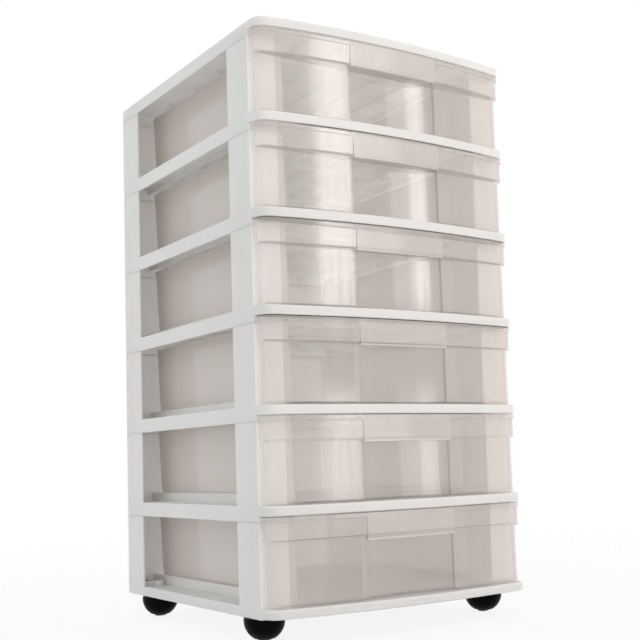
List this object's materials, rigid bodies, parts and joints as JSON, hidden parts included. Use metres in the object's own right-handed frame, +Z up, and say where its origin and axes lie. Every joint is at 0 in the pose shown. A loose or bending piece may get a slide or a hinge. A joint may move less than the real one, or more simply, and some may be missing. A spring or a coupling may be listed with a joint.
{
  "type": "plastic drawer tower",
  "caption": "Tall white plastic tower of clear bow-fronted drawers on stacked open frames, rolling on black ball casters.",
  "frame": {"origin": "on the floor, under the middle of the tower's bounding box", "axes": "+Z up; -Y is the front, where the drawers slide out; +X to the right, seen from the front"},
  "size_m": [0.34, 0.3632, 0.6433],
  "materials": {
    "white_plastic": "satin",
    "clear_plastic": "gloss",
    "black_plastic": "gloss",
    "black_rubber": "matte",
    "steel": "zinc plated"
  },
  "bodies": {
    "cabinet": {"top_panel": "white_plastic", "shelf_frame_1": "white_plastic", "shelf_frame_2": "white_plastic", "shelf_frame_3": "white_plastic", "shelf_frame_4": "white_plastic", "shelf_frame_5": "white_plastic", "base_frame": "white_plastic"},
    "drawer_1": {"drawer_1": "clear_plastic"},
    "drawer_2": {"drawer_2": "clear_plastic"},
    "drawer_3": {"drawer_3": "clear_plastic"},
    "drawer_4": {"drawer_4": "clear_plastic"},
    "drawer_5": {"drawer_5": "clear_plastic"},
    "drawer_6": {"drawer_6": "clear_plastic"},
    "caster_front_left": {"caster_stem_front_left": "steel", "caster_hood_front_left": "black_plastic", "caster_axle_front_left": "steel"},
    "wheel_front_left": {"caster_wheel_front_left": "black_rubber"},
    "caster_front_right": {"caster_stem_front_right": "steel", "caster_hood_front_right": "black_plastic", "caster_axle_front_right": "steel"},
    "wheel_front_right": {"caster_wheel_front_right": "black_rubber"},
    "caster_rear_left": {"caster_stem_rear_left": "steel", "caster_hood_rear_left": "black_plastic", "caster_axle_rear_left": "steel"},
    "wheel_rear_left": {"caster_wheel_rear_left": "black_rubber"},
    "caster_rear_right": {"caster_stem_rear_right": "steel", "caster_hood_rear_right": "black_plastic", "caster_axle_rear_right": "steel"},
    "wheel_rear_right": {"caster_wheel_rear_right": "black_rubber"}
  },
  "joints": [
    {"name": "drawer_slide_1", "type": "slide", "parent": "cabinet", "child": "drawer_1", "axis": [0, -1, 0], "range_m": [0, 0.24]},
    {"name": "drawer_slide_2", "type": "slide", "parent": "cabinet", "child": "drawer_2", "axis": [0, -1, 0], "range_m": [0, 0.24]},
    {"name": "drawer_slide_3", "type": "slide", "parent": "cabinet", "child": "drawer_3", "axis": [0, -1, 0], "range_m": [0, 0.24]},
    {"name": "drawer_slide_4", "type": "slide", "parent": "cabinet", "child": "drawer_4", "axis": [0, -1, 0], "range_m": [0, 0.24]},
    {"name": "drawer_slide_5", "type": "slide", "parent": "cabinet", "child": "drawer_5", "axis": [0, -1, 0], "range_m": [0, 0.24]},
    {"name": "drawer_slide_6", "type": "slide", "parent": "cabinet", "child": "drawer_6", "axis": [0, -1, 0], "range_m": [0, 0.24]},
    {"name": "caster_swivel_front_left", "type": "hinge", "parent": "cabinet", "child": "caster_front_left", "pos_m": [-0.148, -0.11092, 0.0257], "axis": [0, 0, 1], "continuous": true},
    {"name": "wheel_roll_front_left", "type": "hinge", "parent": "caster_front_left", "child": "wheel_front_left", "pos_m": [-0.148, -0.11692, 0.01], "axis": [1, 0, 0], "continuous": true},
    {"name": "caster_swivel_front_right", "type": "hinge", "parent": "cabinet", "child": "caster_front_right", "pos_m": [0.148, -0.11092, 0.0257], "axis": [0, 0, 1], "continuous": true},
    {"name": "wheel_roll_front_right", "type": "hinge", "parent": "caster_front_right", "child": "wheel_front_right", "pos_m": [0.148, -0.11692, 0.01], "axis": [1, 0, 0], "continuous": true},
    {"name": "caster_swivel_rear_left", "type": "hinge", "parent": "cabinet", "child": "caster_rear_left", "pos_m": [-0.148, 0.14258, 0.0257], "axis": [0, 0, 1], "continuous": true},
    {"name": "wheel_roll_rear_left", "type": "hinge", "parent": "caster_rear_left", "child": "wheel_rear_left", "pos_m": [-0.148, 0.13658, 0.01], "axis": [1, 0, 0], "continuous": true},
    {"name": "caster_swivel_rear_right", "type": "hinge", "parent": "cabinet", "child": "caster_rear_right", "pos_m": [0.148, 0.14258, 0.0257], "axis": [0, 0, 1], "continuous": true},
    {"name": "wheel_roll_rear_right", "type": "hinge", "parent": "caster_rear_right", "child": "wheel_rear_right", "pos_m": [0.148, 0.13658, 0.01], "axis": [1, 0, 0], "continuous": true}
  ]
}
